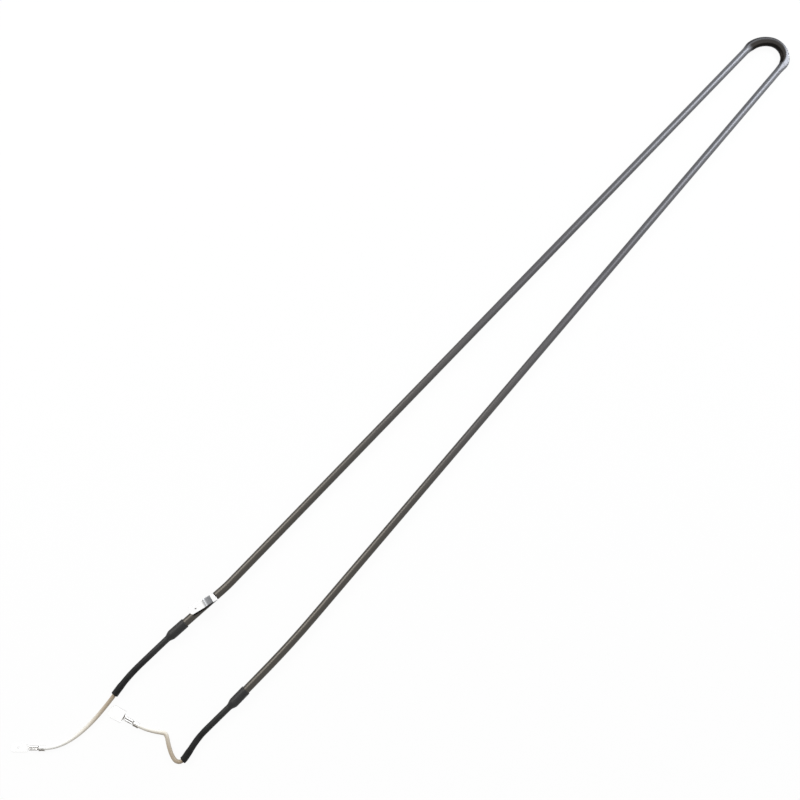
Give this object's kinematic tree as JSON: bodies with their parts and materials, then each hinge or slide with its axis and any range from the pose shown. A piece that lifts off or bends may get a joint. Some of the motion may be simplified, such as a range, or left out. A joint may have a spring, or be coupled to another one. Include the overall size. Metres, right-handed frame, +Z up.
{
  "type": "tubular heating element",
  "caption": "Long thin hairpin tubular heater with a flattened bend, a welded earth tab, black shrink sleeves and short leads that end in crimped blade terminals.",
  "frame": {"origin": "on the surface that the element lies on, under the middle of the tube and its sleeves, leads and terminals left out", "axes": "+X runs from the leads to the hairpin bend, +Y to the leg that carries the earth tab, +Z up from the surface"},
  "size_m": [0.8797, 0.1091, 0.0117],
  "materials": {
    "sheath_steel": "drawn and annealed, dark grey satin",
    "resistance_alloy": "drawn wire",
    "magnesia": "compacted powder",
    "tinned_brass": "tin plated, satin",
    "pin_steel": "drawn",
    "seal_resin": "cast resin",
    "bushing_rubber": "moulded silicone rubber",
    "tinned_copper": "tin plated",
    "sleeve_black": "heat-shrunk polyolefin, satin black",
    "lead_insulation": "pale grey insulation, satin"
  },
  "bodies": {
    "root": {"sheath_tube": "sheath_steel", "heating_coil": "resistance_alloy", "magnesia_core": "magnesia", "earth_tab": "tinned_brass", "cold_pin_left": "pin_steel", "cold_pin_right": "pin_steel", "resin_seal_left": "seal_resin", "resin_seal_right": "seal_resin", "end_bushing_left": "bushing_rubber", "end_bushing_right": "bushing_rubber", "splice_left": "tinned_copper", "splice_right": "tinned_copper", "shrink_sleeve_left": "sleeve_black", "shrink_sleeve_right": "sleeve_black", "lead_left": "lead_insulation", "lead_right": "lead_insulation", "lead_strands_left": "tinned_copper", "lead_strands_right": "tinned_copper", "terminal_left": "tinned_brass", "terminal_right": "tinned_brass"}
  },
  "joints": []
}
